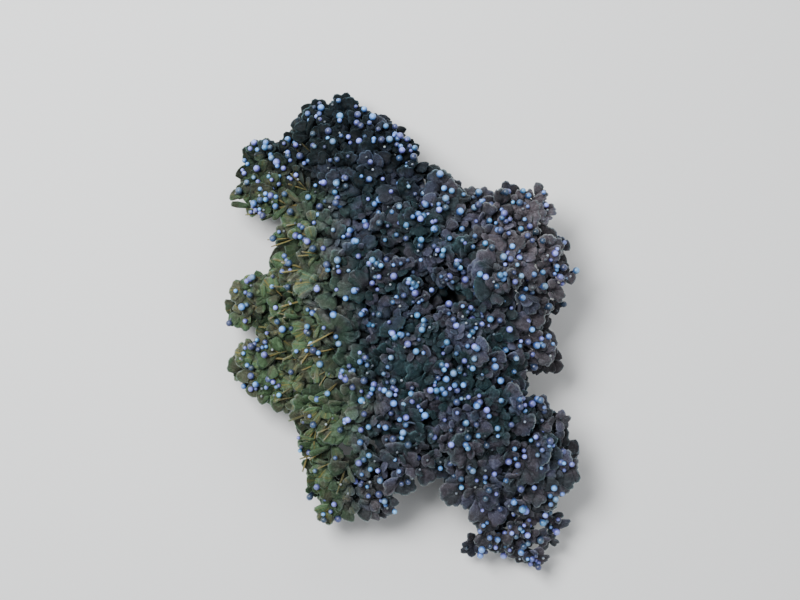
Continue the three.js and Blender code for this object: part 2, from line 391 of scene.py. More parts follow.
# %% [markdown]
# ## Whorls
#
# Each crest carries a few whorls of fronds. They stand on a finer sunflower, wherever a crest is
# near enough to hold them up, and a short twig joins each to its crest. A second, deeper storey
# fills the gaps from below. Some stand higher than others, and each leans its own way, so that
# the crown is ruffled and dark gaps open between the whorls. On the olive side they are more
# even. A few extra whorls, at places given in millimetres, fill out the rim and the thin parts.

# %% Dimensions of the whorls
WHORL_SPACING = 3.9 * MM
WHORL_JITTER = 0.9 * MM
WHORL_OPENING = 5.0 * MM
WHORL_TILT = 0.42
FLAT_TILT = 0.2
UNDERSTOREY_SPACING = 4.3 * MM
UNDERSTOREY_JITTER = 1.2 * MM
UNDERSTOREY_DEPTH = 3.4 * MM
# A crest this near holds a whorl up, or two crests that are a little further away.
WHORL_REACH = 4.6 * MM
PAIR_REACH = (1.8 * WHORL_REACH, 2.65 * WHORL_REACH)
NEIGHBOURHOOD = 19 * MM
MIDDLE = 14 * MM
TWIG_STALK = 0.9 * MM
TWIG_SAG = 0.5 * MM
TWIG_ROOT = 0.9 * MM
TWIG_END = 0.75 * MM
EXTRA_NUMBER = 5000
RIM_SPOTS = [(-73.5, 42), (-70.5, 36.5), (-64.5, 34), (42.5, -80.5), (40.5, -88)]
THIN_SPOTS = [(-50.5, 58), (-15.9, 54.9), (13.4, 33.1), (22.8, -64.4), (-59, 1), (-32.5, -73)]
OLIVE_START = 24 * MM
OLIVE_FULL = 58 * MM
OLIVE_LEAN = 0.12


def smooth(low, high, value):
    """0 below low, 1 above high, and an easy slope between."""
    t = min(max((value - low) / (high - low), 0), 1)
    return t * t * (3 - 2 * t)


def surrounded(x, y):
    """Whether crests stand on every side of a plan point, so that the gap there would close."""
    ways = [Vector((c.place.x - x, c.place.y - y)) for c in crests]
    ways = [way.normalized() for way in ways if way.length < NEIGHBOURHOOD]
    return len(ways) > 4 and sum(ways, Vector((0, 0))).length < 0.3 * len(ways)


def olive_side(x, y):
    """How far a plan point is into the olive side of the crown, from 0 to 1."""
    return smooth(OLIVE_START, OLIVE_FULL, -x - OLIVE_LEAN * y)


# %% Place the whorls
def whorl_at(n, x, y, crest, storey, depth):
    """The n-th whorl, over a plan point, with its own height, lean and size."""
    fan = crest.fan
    r = math.hypot(x, y)
    outness = r / fan.reach
    olive = olive_side(x, y)
    broad = storey and outness < 0.8 and wobble(17 * n) > 0.25
    unevenness = 1.6 * wobble(5 * n) * (1 - 0.5 * olive) + 0.9 * wobble(3 * crest.number)
    lift = 0.4 + (unevenness + 0.8 * broad)  # in millimetres
    depth = depth * (1 - 0.35 * olive) - lift * MM
    tilt = FLAT_TILT if olive > 0.3 and outness > 0.45 else WHORL_TILT
    filler = 0.25 if not storey and r < 0.75 * fan.reach else 0
    return SimpleNamespace(
        number=n, crest=crest, fan=fan, storey=storey, outness=outness, broad=broad, olive=olive,
        place=under(fan, x, y, depth), normal=canopy_normal(fan, x, y, n, tilt),
        size=1 + 0.2 * wobble(13 * n) + filler,
    )


def whorls_of(spacing, depth, storey, jitter, spots):
    """The whorls of one storey, each tied to the nearest crest, and extra ones on some spots."""
    found = []
    extra = [(EXTRA_NUMBER + i, x * MM, y * MM) for i, (x, y) in enumerate(spots)]
    for n, x, y in [*sunflower(spacing, furthest, jitter), *extra]:
        near = sorted((math.hypot(c.place.x - x, c.place.y - y), c.number, c) for c in crests)[:2]
        (first, _, crest), (second, _, _) = near
        r = math.hypot(x, y)
        reach = WHORL_REACH * lerp(1.8, 1, smooth(0.45, 0.8, r / crest.fan.reach))
        held = first < reach or (first < PAIR_REACH[0] and second < PAIR_REACH[1])
        chosen = held or r < MIDDLE or n >= EXTRA_NUMBER or surrounded(x, y)
        if chosen and r >= WHORL_OPENING:
            found.append(whorl_at(n, x, y, crest, storey, depth))
    return found


top_whorls = whorls_of(WHORL_SPACING, 0, 1, WHORL_JITTER, RIM_SPOTS)
low_whorls = whorls_of(UNDERSTOREY_SPACING, UNDERSTOREY_DEPTH, 0, UNDERSTOREY_JITTER, THIN_SPOTS)
whorls = top_whorls + low_whorls
for whorl in whorls:
    foot = whorl.crest.foot
    end = whorl.place - TWIG_STALK * whorl.normal
    middle = foot.lerp(end, 0.55) - Vector((0, 0, TWIG_SAG))
    limbs.append((arc(foot, middle, end, 5), TWIG_ROOT, TWIG_END, TRUNK_FLATNESS))
print("whorls", len(top_whorls), "above and", len(low_whorls), "below")

# %% [markdown]
# ## One skin
#
# Foot, column, oral disc, lips, tentacles and every limb are one piece of flesh in life, with no
# seam where they meet. Simple closed shapes are laid over each other first: turned bodies for
# the foot and column, tubes for the limbs. A voxel remesh then melts them into a single surface,
# as clay is pressed together, and a few rounds of smoothing take the steps out of it. Last, it
# is thinned to about half its faces, which the smooth shading hides.

# %% Helpers that make closed shapes
DOME_LENGTH = 0.7
DOME_RADIUS = 0.5


def turns(count):
    """Evenly spaced angles of a full turn."""
    return [2 * math.pi * i / count for i in range(count)]


def ring_faces(rings, sides):
    """The faces that join a stack of rings and close its two ends."""
    faces = []
    for i in range(rings - 1):
        for j in range(sides):
            a, b = i * sides + j, i * sides + (j + 1) % sides
            faces.append((a, b, b + sides, a + sides))
    faces.append(tuple(reversed(range(sides))))
    faces.append(tuple(range((rings - 1) * sides, rings * sides)))
    return faces


def turned(profile, segments, swell=lambda turn, r, z: (r, z)):
    """A lathed shape: vertices and faces from (radius, height) pairs from bottom to top."""
    vertices = []
    for r, z in profile:
        for turn in turns(segments):
            radius, height = swell(turn, r, z)
            vertices.append((radius * math.cos(turn), radius * math.sin(turn), height))
    return vertices, ring_faces(len(profile), segments)


def tube(path, radii, sides=10, flat=0.0):
    """A limb along a path, with domed ends, and broader than deep by its flatness."""
    path = [Vector(p) for p in path]
    ahead = (path[1] - path[0]).normalized()
    behind = (path[-1] - path[-2]).normalized()
    first = path[0] - ahead * radii[0] * DOME_LENGTH
    last = path[-1] + behind * radii[-1] * DOME_LENGTH
    path = [first, *path, last]
    radii = [radii[0] * DOME_RADIUS, *radii, radii[-1] * DOME_RADIUS]
    side = ahead.cross(Vector((0, 0, 1)))
    if side.length < 0.3:
        side = ahead.orthogonal()
    vertices = []
    for i, p in enumerate(path):
        tangent = (path[min(i + 1, len(path) - 1)] - path[max(i - 1, 0)]).normalized()
        side = (side - tangent * side.dot(tangent)).normalized()
        up = tangent.cross(side)
        for turn in turns(sides):
            aside = radii[i] * (1 + 0.5 * flat) * math.cos(turn)
            above = radii[i] * (1 - 0.35 * flat) * math.sin(turn)
            vertices.append(p + aside * side + above * up)
    return vertices, ring_faces(len(path), sides)


def mesh_object(name, shapes):
    """One object from several (vertices, faces) shapes."""
    vertices, faces = [], []
    for more, shape_faces in shapes:
        base = len(vertices)
        vertices += [tuple(v) for v in more]
        faces += [tuple(base + i for i in face) for face in shape_faces]
    return new_object(name, new_mesh(name, vertices, faces))


# %% Foot, column and oral disc
BODY_SEGMENTS = 144
PLEATS = 24
foot_radius = foot_high[0] - 1 * MM
column_top = column_high[2]
disc_floor = disc_low[2]


def column_swell(turn, r, z):
    """Shallow lengthwise pleats, deepest at the waist, and a ragged edge at the foot."""
    rise = smooth(3 * MM, 8 * MM, z) * (1 - smooth(26 * MM, 30 * MM, z))
    pleat = 1 + 0.012 * rise * math.cos(PLEATS * turn) + 0.008 * rise * math.cos(7 * turn + 1)
    edge = 1 - smooth(2 * MM, 6 * MM, z)
    ragged = 1 + edge * (0.045 * math.sin(5 * turn) + 0.03 * math.sin(11 * turn + 1))
    return r * pleat * ragged, z


body = turned(
    [
        (foot_radius - 1.2 * MM, 0.0),
        (foot_radius - 0.3 * MM, 0.3 * MM),
        (foot_radius, 0.9 * MM),
        (foot_radius - 0.8 * MM, 1.7 * MM),
        (foot_radius - 3 * MM, 2.9 * MM),
        (foot_radius - 5.5 * MM, 4.4 * MM),
        (17.6 * MM, 6.6 * MM),
        (16.4 * MM, 10 * MM),
        (15.9 * MM, 14 * MM),
        (16.4 * MM, 19 * MM),
        (17.6 * MM, 23.5 * MM),
        (18.6 * MM, 26.5 * MM),
        (18.7 * MM, column_top - 1.5 * MM),
        (17.6 * MM, column_top),
        (15.6 * MM, column_top + 0.4 * MM),
        (13 * MM, column_top + 1.2 * MM),
        (9 * MM, column_top + 0.7 * MM),
        (5 * MM, column_top + 0.2 * MM),
    ],
    BODY_SEGMENTS,
    column_swell,
)
print("column", round(column_top / MM, 1), "mm high, foot", round(2 * foot_radius / MM, 1), "mm")

# %% Lips
LIP_FOLDS = 18
LIP_SEGMENTS = 72
lip_height = mouth_high[2]
mouth_stretch = (mouth_high[0] - mouth_low[0]) / (mouth_high[1] - mouth_low[1])


def lip_swell(turn, r, z):
    """An oval mouth with folded lips."""
    fold = 1 + 0.06 * math.cos(LIP_FOLDS * turn)
    stretch = 1 + (mouth_stretch - 1) * abs(math.cos(turn)) ** 1.5
    return r * fold * stretch, z


lips = turned(
    [
        (3.9 * MM, disc_floor + 1 * MM),
        (3.7 * MM, lip_height - 2 * MM),
        (3.1 * MM, lip_height - 0.5 * MM),
        (2.5 * MM, lip_height),
        (1.9 * MM, lip_height - 0.4 * MM),
        (1.2 * MM, lip_height - 1.6 * MM),
    ],
    LIP_SEGMENTS,
    lip_swell,
)
print("lips", round(lip_height / MM, 1), "mm above the ground")

# %% True tentacles
# Each ring says how many there are, how far out, how long, and how many degrees they lean.
TENTACLE_RINGS = [
    (12, 8.6 * MM, 7.0 * MM, 14),
    (12, 10.6 * MM, 8.0 * MM, 30),
    (24, 12.8 * MM, 8.6 * MM, 48),
]
TENTACLE_RADIUS = 0.85 * MM
TENTACLE_STEPS = 7


def tentacle(i, count, ring, length, lean):
    """A true tentacle, drawn in: it rises from the disc, leans out and curls at the tip."""
    tilt = math.radians(lean + 9 * wobble(i))
    out = toward(2 * math.pi * i / count)
    aside = Vector((-out.y, out.x, 0))
    root = out * ring + Vector((0, 0, disc_floor + 1.5 * MM))
    length = length * (1 + 0.12 * wobble(3 * i))
    tip = root + length * (math.sin(tilt) * out + Vector((0, 0, math.cos(tilt))))
    tip += aside * 1.2 * MM * wobble(5 * i)
    bend = root.lerp(tip, 0.5) + out * 0.8 * MM + Vector((0, 0, 0.12 * length))
    path = arc(root, bend, tip, TENTACLE_STEPS)
    radii = [TENTACLE_RADIUS * lerp(1, 0.55, t) for t in shares(TENTACLE_STEPS)]
    return tube(path, radii, 8)


tentacles = [
    tentacle(i + 0.5 * (cycle > 0), count, ring, length, lean)
    for cycle, (count, ring, length, lean) in enumerate(TENTACLE_RINGS)
    for i in range(count)
]
print("true tentacles", len(tentacles))

# %% Melt everything into one skin
SKIN_VOXEL = 0.5 * MM
SKIN_THINNING = 0.53


def bake(piece, name):
    """A plain object from a piece's evaluated mesh. The piece itself is removed."""
    graph = bpy.context.evaluated_depsgraph_get()
    mesh = bpy.data.meshes.new_from_object(piece.evaluated_get(graph))
    mesh.name = name
    result = new_object(name, mesh)
    bpy.data.objects.remove(piece, do_unlink=True)
    return result


limb_tubes = [
    tube(path, [lerp(start, end, t) for t in shares(len(path))], 10, flat)
    for path, start, end, flat in limbs
]
raw = mesh_object("raw_flesh", [body, lips] + tentacles + limb_tubes)
remesh = raw.modifiers.new("melt", "REMESH")
remesh.mode = "VOXEL"
remesh.voxel_size = SKIN_VOXEL
remesh.use_smooth_shade = True
soften = raw.modifiers.new("soften", "SMOOTH")
soften.factor = 0.6
soften.iterations = 3
thin = raw.modifiers.new("thin", "DECIMATE")
thin.ratio = SKIN_THINNING
skin = bake(raw, "anemone_skin")
skin.data.shade_smooth()
print("skin", len(skin.data.polygons), "faces")

# %% [markdown]
# ## A frond
#
# A frond is a thin blade of flesh: a narrow root that fans out to a round or lobed margin. It is
# repeated thousands of times, so it has only a few dozen faces. Its outline comes from one rule,
# read round a point just behind the root, with two sheets of vertices, above and below, that
# meet at the rim. Its own UV map runs across and along it. The set has ten kinds: three round
# leaves, two lobed ones, two broad ones with a scalloped margin, and a plump finger and two
# hair-thin streaks, which grow only on the olive side.

# %% The rule of a frond
FROND_ROOT = 0.55 * MM
FROND_THICKNESS = 1.1 * MM
LOBE_DEPTH = 0.34
LOBE_ROUNDNESS = 0.8
OWN_UV = "FrondUV"


def small_piece(name, vertices, faces, uvs):
    """A smooth object outside the scene, with its own UV map, for the trees to repeat."""
    mesh = new_mesh(name, vertices, faces)
    layer = mesh.uv_layers.new(name=OWN_UV)
    for loop in mesh.loops:
        layer.data[loop.index].uv = uvs[loop.vertex_index]
    mesh.shade_smooth()
    return bpy.data.objects.new(name, mesh)


def frond(
    name, length, spread, lobes=1, cup=0.5, curl=0.3, ripple=0.0, columns=6, thin=1.0,
    root=FROND_ROOT,
):
    """A closed blade along +X from the origin, its upper side towards +Z. It spreads by that
    angle to each side, from a root of that half width, and its margin has that many lobes. Cup,
    curl and ripple lift it, in millimetres, and thin makes it thicker or thinner than most."""
    behind = root / math.sin(spread)
    pull = min(0.30, 2.2 * spread)
    edge = 6 if spread > 0.3 else 2.5
    depth = LOBE_DEPTH / (lobes + 0.2)
    wave = math.cos if lobes % 2 else math.sin
    rows = [0, 0.35, 0.68, 0.92, 1] if lobes == 1 else [0, 0.5, 0.88, 1]
    vertices, uvs, faces, index = [], [], [], {}
    for sheet in (1, -1):
        for i, t in enumerate(rows):
            for j in range(columns + 1):
                w = 2 * j / columns - 1
                rim = i in (0, len(rows) - 1) or j in (0, columns)
                if rim and sheet < 0:
                    index[i, j, sheet] = index[i, j, 1]
                    continue
                scallop = 1
                if lobes > 1:
                    scallop = abs(wave(0.5 * math.pi * lobes * w)) ** LOBE_ROUNDNESS
                margin = (1 - depth + depth * scallop) * (1 - 0.4 * pull * w * w - pull * abs(w) ** 7)
                reach = behind + length * t * margin
                round_off = math.sqrt((1 - t**5) * (1 - abs(w) ** edge))
                thick = 0 if rim else 0.5 * thin * FROND_THICKNESS * round_off
                lift = cup * w * w * t + curl * t * t + ripple * math.cos(math.pi * lobes * w) * t * t
                x = reach * math.cos(w * spread) - behind
                index[i, j, sheet] = len(vertices)
                vertices.append((x, reach * math.sin(w * spread), lift * MM + sheet * thick))
                uvs.append((0.5 + 0.5 * w, t))
        for i in range(len(rows) - 1):
            for j in range(columns):
                ring = [(i, j), (i + 1, j), (i + 1, j + 1), (i, j + 1)]
                faces.append([index[r, c, sheet] for r, c in ring][::sheet])
    return small_piece(name, vertices, faces, uvs)


# %% Model the fronds
fronds = bpy.data.collections.new("fronds")
for piece in (
    frond("frond_0_round", 4.2 * MM, 0.66, cup=-0.1, curl=-0.1),
    frond("frond_1_round", 4.8 * MM, 0.62, cup=0.25, curl=0.3),
    frond("frond_2_round", 5.4 * MM, 0.50, cup=-0.2, curl=-0.5),
    frond("frond_3_lobed", 5.4 * MM, 0.66, lobes=2, cup=-0.2, curl=-0.2, ripple=-0.25, columns=8),
    frond("frond_4_lobed", 6.0 * MM, 0.78, lobes=3, cup=0.2, curl=-0.5, ripple=-0.25, columns=9),
    frond("frond_5_broad", 7.2 * MM, 0.80, lobes=3, cup=-0.4, curl=-0.7, ripple=-0.35, columns=12),
    frond("frond_6_broad", 7.8 * MM, 0.84, lobes=4, cup=-0.4, curl=-1.0, ripple=-0.3, columns=16),
    frond("frond_7_finger", 7.4 * MM, 0.10, curl=-0.3, thin=1.7),
    frond("frond_8_streak", 8.0 * MM, 0.016, curl=-0.5, thin=0.6, root=0.13 * MM),
    frond("frond_9_streak", 9.6 * MM, 0.012, curl=-1.1, thin=0.6, root=0.15 * MM),
):
    fronds.objects.link(piece)

# %% [markdown]
# ## A vesicle
#
# The vesicles are hollow stinging beads on short stalks, mostly one and a half to three
# millimetres across. One bead is modelled, two millimetres across, and scaled for each place.
# Some are young ones, only a millimetre across and cream: the chance is one in four, and with
# these seeds it comes to about one in five. The bead has few sides too, as there are more than
# a thousand of them.

# %% Model the vesicle
BEAD_RADIUS = 1.0 * MM
BEAD_STALK = 0.8 * MM
BEAD_SIDES = 10


def bead(name, radius, stalk):
    """A bead on a stalk that grows along +Z from the origin."""
    profile = [(0.34 * radius, -0.3 * stalk), (0.3 * radius, 0.7 * stalk)]
    for angle in (-52, -22, 8, 38, 65):
        a = math.radians(angle)
        profile.append((radius * math.cos(a), stalk + radius * (1 + math.sin(a))))
    vertices, faces = turned(profile, BEAD_SIDES)
    top = stalk + 2 * radius
    vertices.append((0, 0, top))
    last = (len(profile) - 1) * BEAD_SIDES
    faces.pop()
    for j in range(BEAD_SIDES):
        faces.append((last + j, last + (j + 1) % BEAD_SIDES, len(vertices) - 1))
    uvs = [(0.5 + 0.4 * x / radius, min(max(z / top, 0), 1)) for x, _, z in vertices]
    return small_piece(name, vertices, faces, uvs)


beads = bpy.data.collections.new("beads")
beads.objects.link(bead("bead_0", BEAD_RADIUS, BEAD_STALK))
bead_faces = len(beads.objects[0].data.polygons)
print("bead faces", bead_faces)

# %% [markdown]
# ## Growing them with Geometry Nodes
#
# Each whorl is one point that carries its own attributes: which way is up, how large it is, how
# many of its fronds are fingers, how many bear vesicles. The first tree copies that point once
# for each frond and works out which kind it is, how it turns and where it stands. In the middle
# of the crown each next frond stands a golden turn further round, the inner ones upright. Near
# the edge they spread left and right of the outward line, as leaflets do, and the golden streaks
# follow that line. Two more trees use that layout, one to set the fronds and one to set vesicles
# on them, so that each vesicle stands on a frond. Realising the instances at the end makes plain
# meshes.

# %% Helpers that add nodes
def feed(tree, socket, value):
    """Links a socket to another, or sets its value."""
    if isinstance(value, bpy.types.NodeSocket):
        tree.links.new(value, socket)
    elif value is not None:
        socket.default_value = value


def feed_all(tree, node, inputs):
    """Feeds the inputs of a node, given by name or by number."""
    for key, value in dict(inputs).items():
        feed(tree, node.inputs[key], value)


def add(tree, kind, inputs=(), **settings):
    """A new node with its settings and inputs."""
    node = tree.nodes.new(kind)
    for key, value in settings.items():
        setattr(node, key, value)
    feed_all(tree, node, inputs)
    return node


def maths(tree, operation, *values):
    """The result of a maths node."""
    return add(tree, "ShaderNodeMath", dict(enumerate(values)), operation=operation).outputs[0]


def times(tree, first, *others):
    """The product of some values."""
    for other in others:
        first = maths(tree, "MULTIPLY", first, other)
    return first


def plus(tree, first, second):
    """The sum of two values."""
    return maths(tree, "ADD", first, second)


def minus(tree, first, second):
    """The first value less the second."""
    return maths(tree, "SUBTRACT", first, second)


def cosine(tree, value, factor):
    """The cosine of a value times a factor, which draws even lines."""
    return maths(tree, "COSINE", times(tree, value, factor))


def vector(tree, operation, first, second):
    """The result of a vector maths node: the second may be a number that scales."""
    key = "Scale" if operation == "SCALE" else 1
    return add(tree, "ShaderNodeVectorMath", {0: first, key: second}, operation=operation).outputs[0]


def ramp(tree, value, bottom, top):
    """Maps 0..1 onto bottom..top."""
    return add(tree, "ShaderNodeMapRange", {0: value, 3: bottom, 4: top}).outputs[0]


def xyz(tree, x=0.0, y=0.0, z=0.0):
    """A vector from three values."""
    return add(tree, "ShaderNodeCombineXYZ", {0: x, 1: y, 2: z}).outputs[0]


def polar(tree, angle, radius):
    """A step of that length in the direction of an angle."""
    return xyz(
        tree,
        times(tree, maths(tree, "COSINE", angle), radius),
        times(tree, maths(tree, "SINE", angle), radius),
    )


# %% Helpers for attributes, chance and choice
def named(tree, name, kind="FLOAT"):
    """An attribute that the points carry."""
    return add(tree, "GeometryNodeInputNamedAttribute", {"Name": name}, data_type=kind).outputs[0]


def keep(tree, geometry, name, value, kind="FLOAT", domain="POINT"):
    """Stores a value on the geometry, so that later steps and materials can read it."""
    inputs = {"Geometry": geometry, "Name": name, "Value": value}
    return add(
        tree, "GeometryNodeStoreNamedAttribute", inputs, data_type=kind, domain=domain
    ).outputs[0]


def chance(tree, low, high, seed, identity=None, kind="FLOAT"):
    """A random number between low and high, the same for the same identity and seed."""
    first = {"FLOAT": 2, "INT": 4}[kind]
    inputs = {first: low, first + 1: high, "ID": identity, "Seed": seed}
    node = add(tree, "FunctionNodeRandomValue", inputs, data_type=kind)
    return node.outputs[{"FLOAT": 1, "INT": 2}[kind]]


def choose(tree, condition, otherwise, chosen, kind="FLOAT"):
    """One value where a condition holds, and another elsewhere."""
    inputs = {"Switch": condition, "False": otherwise, "True": chosen}
    return add(tree, "GeometryNodeSwitch", inputs, input_type=kind).outputs[0]


# %% Helpers that turn, copy and move points
def turned_by(tree, rotation, angles):
    """A rotation, turned further by angles about its own axes."""
    lean = add(tree, "FunctionNodeEulerToRotation", {0: angles}).outputs[0]
    node = add(
        tree, "FunctionNodeRotateRotation", {0: rotation, 1: lean}, rotation_space="LOCAL"
    )
    return node.outputs[0]


def copied(tree, points, amount):
    """Each point copied a number of times. Gives the points and each one's place in its set."""
    inputs = {"Geometry": points, "Amount": amount}
    node = add(tree, "GeometryNodeDuplicateElements", inputs, domain="POINT")
    return node.outputs[0], node.outputs["Duplicate Index"]


def moved(tree, points, rotation, step):
    """The points moved by a step that a rotation turns."""
    offset = add(tree, "FunctionNodeRotateVector", {0: step, 1: rotation}).outputs[0]
    return add(tree, "GeometryNodeSetPosition", {"Geometry": points, "Offset": offset}).outputs[0]


def new_tree(name, sockets):
    """A Geometry Nodes tree with named inputs. Gives the tree, its inputs and its outputs."""
    tree = bpy.data.node_groups.new(name, "GeometryNodeTree")
    tree.interface.new_socket("Geometry", in_out="INPUT", socket_type="NodeSocketGeometry")
    for label, kind in sockets.items():
        tree.interface.new_socket(label, in_out="INPUT", socket_type="NodeSocket" + kind)
    tree.interface.new_socket("Geometry", in_out="OUTPUT", socket_type="NodeSocketGeometry")
    ports = tree.nodes.new("NodeGroupInput").outputs
    return tree, ports, tree.nodes.new("NodeGroupOutput").inputs


# %% The tree that lays out the fronds: how many there are, and which
LAYOUT_SOCKETS = {
    "Fewest": "Int", "Most": "Int", "Inner Rise": "Float", "Outer Rise": "Float",
    "Leaf Length": "Float", "Seed": "Int",
}
# Each draw has a seed of its own. How many fronds and where they start use the Seed input.
SEED = SimpleNamespace(
    angle=7, rise=8, roll=9, growth=10, lot=11, leaf=12, inner_leaf=13, finger_kind=14,
    broad_leaf=15, finger=16,
)
# The first and last number of each set of fronds, as their names say.
INNER_LEAVES = (0, 2)
LEAVES = (1, 4)
BROAD_LEAVES = (5, 6)
FINGERS = (7, 9)
INNER_SHARE = 0.36

layout_tree, ports, result = new_tree("whorl_layout", LAYOUT_SOCKETS)
t = layout_tree
each = add(t, "GeometryNodeInputIndex").outputs[0]
number, up = named(t, "number", "INT"), named(t, "up", "FLOAT_VECTOR")
outward, directed = named(t, "outward"), named(t, "directed")
finger_share = named(t, "finger_share")

count = chance(t, ports["Fewest"], ports["Most"], ports["Seed"], number, "INT")
points, order = copied(t, ports["Geometry"], count)
share = maths(t, "DIVIDE", plus(t, order, 0.5), count)

inner = maths(t, "LESS_THAN", share, INNER_SHARE)
leaf = chance(t, *LEAVES, SEED.leaf, each, "INT")
kind = choose(t, inner, leaf, chance(t, *INNER_LEAVES, SEED.inner_leaf, each, "INT"), "INT")
broad = times(t, named(t, "broad"), maths(t, "GREATER_THAN", share, 0.45))
kind = choose(t, broad, kind, chance(t, *BROAD_LEAVES, SEED.broad_leaf, each, "INT"), "INT")
finger = maths(t, "LESS_THAN", chance(t, 0.0, 1.0, SEED.finger, each), finger_share)
finger_kind = chance(t, *FINGERS, SEED.finger_kind, each, "INT")
kind = choose(t, finger, kind, finger_kind, "INT")
golden = times(t, finger, maths(t, "GREATER_THAN", finger_kind, FINGERS[0] + 0.5))
print("kinds of frond", FINGERS[1] + 1)

# %% Which way each frond points
start = chance(t, 0.0, 2 * math.pi, plus(t, ports["Seed"], 1), number)
spiral = plus(t, times(t, order, GOLDEN_TURN), start)
side = ramp(t, maths(t, "MODULO", order, 2), -1.0, 1.0)
aside = times(t, side, ramp(t, share, 1.6, 0.25), ramp(t, finger_share, 1.0, 0.5))
pinnate = plus(t, outward, aside)
angle = choose(t, golden, choose(t, directed, spiral, pinnate), outward)
angle = plus(t, angle, chance(t, -0.4, 0.4, SEED.angle, each))

calm = ramp(t, finger_share, 1.0, 0.4)
rise = ramp(t, share, ports["Inner Rise"], ports["Outer Rise"])
rise = times(t, rise, ramp(t, directed, 1.0, 0.45))
rise = plus(t, rise, times(t, calm, chance(t, -0.28, 0.28, SEED.rise, each)))
roll = times(t, calm, chance(t, -0.4, 0.4, SEED.roll, each))
lean = xyz(t, roll, times(t, rise, -1.0), angle)
upright = add(t, "FunctionNodeAlignRotationToVector", {"Vector": up}, axis="Z").outputs[0]
turn = turned_by(t, upright, lean)
print("layout tree so far", len(t.nodes), "nodes")

# %% Where each frond stands, and what it carries
BAKE_RING = 7 * MM

growth = times(t, ramp(t, share, 0.72, 1.08), chance(t, 0.8, 1.18, SEED.growth, each))
growth = times(t, growth, named(t, "size"))
along = times(t, minus(t, share, 0.6), ports["Leaf Length"], directed)
points = moved(t, points, upright, polar(t, outward, along))
points = keep(t, points, "turn", turn, "QUATERNION")
points = keep(t, points, "growth", growth)
points = keep(t, points, "kind", kind, "INT")
points = keep(t, points, "finger", finger)
points = keep(t, points, "golden", golden)
points = keep(t, points, "lot", chance(t, 0.0, 1.0, SEED.lot, each))
bake_step = polar(t, spiral, times(t, maths(t, "SQRT", share), BAKE_RING))
patch = vector(t, "ADD", named(t, "bake_place", "FLOAT_VECTOR"), bake_step)
feed(t, result[0], keep(t, points, "patch", patch, "FLOAT_VECTOR"))
print("layout tree", len(t.nodes), "nodes")

# %% The step that sets a piece on each point
BAKE_PATCH = 3 * MM


def set_pieces(tree, points, stock, pick, rotation, scale, material):
    """Sets one of a collection's pieces on each point, as plain mesh. Each piece gets its own
    patch of the map that its finish may be baked on."""
    inputs = {"Collection": stock, "Separate Children": True, "Reset Children": True}
    stock = add(tree, "GeometryNodeCollectionInfo", inputs).outputs[0]
    inputs = {"Points": points, "Instance": stock, "Pick Instance": True}
    inputs.update({"Instance Index": pick, "Rotation": rotation, "Scale": scale})
    instances = add(tree, "GeometryNodeInstanceOnPoints", inputs).outputs[0]
    real = add(tree, "GeometryNodeRealizeInstances", {0: instances}).outputs[0]
    local = vector(tree, "SUBTRACT", named(tree, OWN_UV, "FLOAT_VECTOR"), (0.5, 0.5, 0))
    local = vector(tree, "SCALE", local, BAKE_PATCH)
    patch = vector(tree, "ADD", named(tree, "patch", "FLOAT_VECTOR"), local)
    stored = keep(tree, real, "OFBake", patch, "FLOAT2", "CORNER")
    inputs = {"Geometry": stored, "Material": material}
    return add(tree, "GeometryNodeSetMaterial", inputs).outputs[0]


def use_layout(tree, ports):
    """The laid-out points, from the first tree as a group inside another."""
    inputs = {name: ports[name] for name in ["Geometry", *LAYOUT_SOCKETS]}
    return add(tree, "GeometryNodeGroup", inputs, node_tree=layout_tree).outputs[0]


# %% The tree that sets the fronds
frond_tree, ports, result = new_tree(
    "whorl_fronds", {"Fronds": "Collection", "Material": "Material", **LAYOUT_SOCKETS}
)
t = frond_tree
turn, growth = named(t, "turn", "QUATERNION"), named(t, "growth")
points, kind = use_layout(t, ports), named(t, "kind", "INT")
pieces = set_pieces(t, points, ports["Fronds"], kind, turn, growth, ports["Material"])
feed(t, result[0], pieces)
print("frond tree", len(t.nodes), "nodes")

# %% The tree that sets the vesicles
BEAD_SEED = SimpleNamespace(bare=21, crowd=22, along=23, gap=24, lean=25, young=26, girth=27, lot=28)
BEAD_PLACE = (2.2 * MM, 4.2 * MM)
BEAD_LIFT = 0.1 * MM
YOUNG_GIRTH = 0.50
PATCH_STEP = 3.1 * MM

bead_tree, ports, result = new_tree(
    "whorl_vesicles",
    {
        "Beads": "Collection", "Material": "Material", "Smallest": "Float", "Largest": "Float",
        "Twin Gap": "Float", "Young Share": "Float", **LAYOUT_SOCKETS,
    },
)
t = bead_tree
each = add(t, "GeometryNodeInputIndex").outputs[0]
turn, finger = named(t, "turn", "QUATERNION"), named(t, "finger")

bare = chance(t, 0.0, 1.0, BEAD_SEED.bare, each)
bare = maths(t, "GREATER_THAN", bare, named(t, "vesicle_share"))
inputs = {"Geometry": use_layout(t, ports), "Selection": bare}
points = add(t, "GeometryNodeDeleteGeometry", inputs, domain="POINT").outputs[0]
crowd = maths(t, "POWER", chance(t, 0.0, 1.0, BEAD_SEED.crowd, each), 3.0)
amount = maths(t, "FLOOR", plus(t, 1.0, times(t, crowd, 2.3)))
points, order = copied(t, points, amount)

along = times(t, named(t, "growth"), chance(t, *BEAD_PLACE, BEAD_SEED.along, each))
along = times(t, along, ramp(t, finger, 1.0, 1.6))
gap = plus(t, order, chance(t, -0.4, 0.1, BEAD_SEED.gap, each))
gap = times(t, gap, ports["Twin Gap"])
along = minus(t, along, times(t, gap, finger))
aside = times(t, gap, ramp(t, finger, 1.0, 0.15))
points = moved(t, points, turn, xyz(t, along, aside, BEAD_LIFT))
lean = xyz(t, times(t, order, -0.35), chance(t, -0.1, 0.5, BEAD_SEED.lean, each), 0.0)

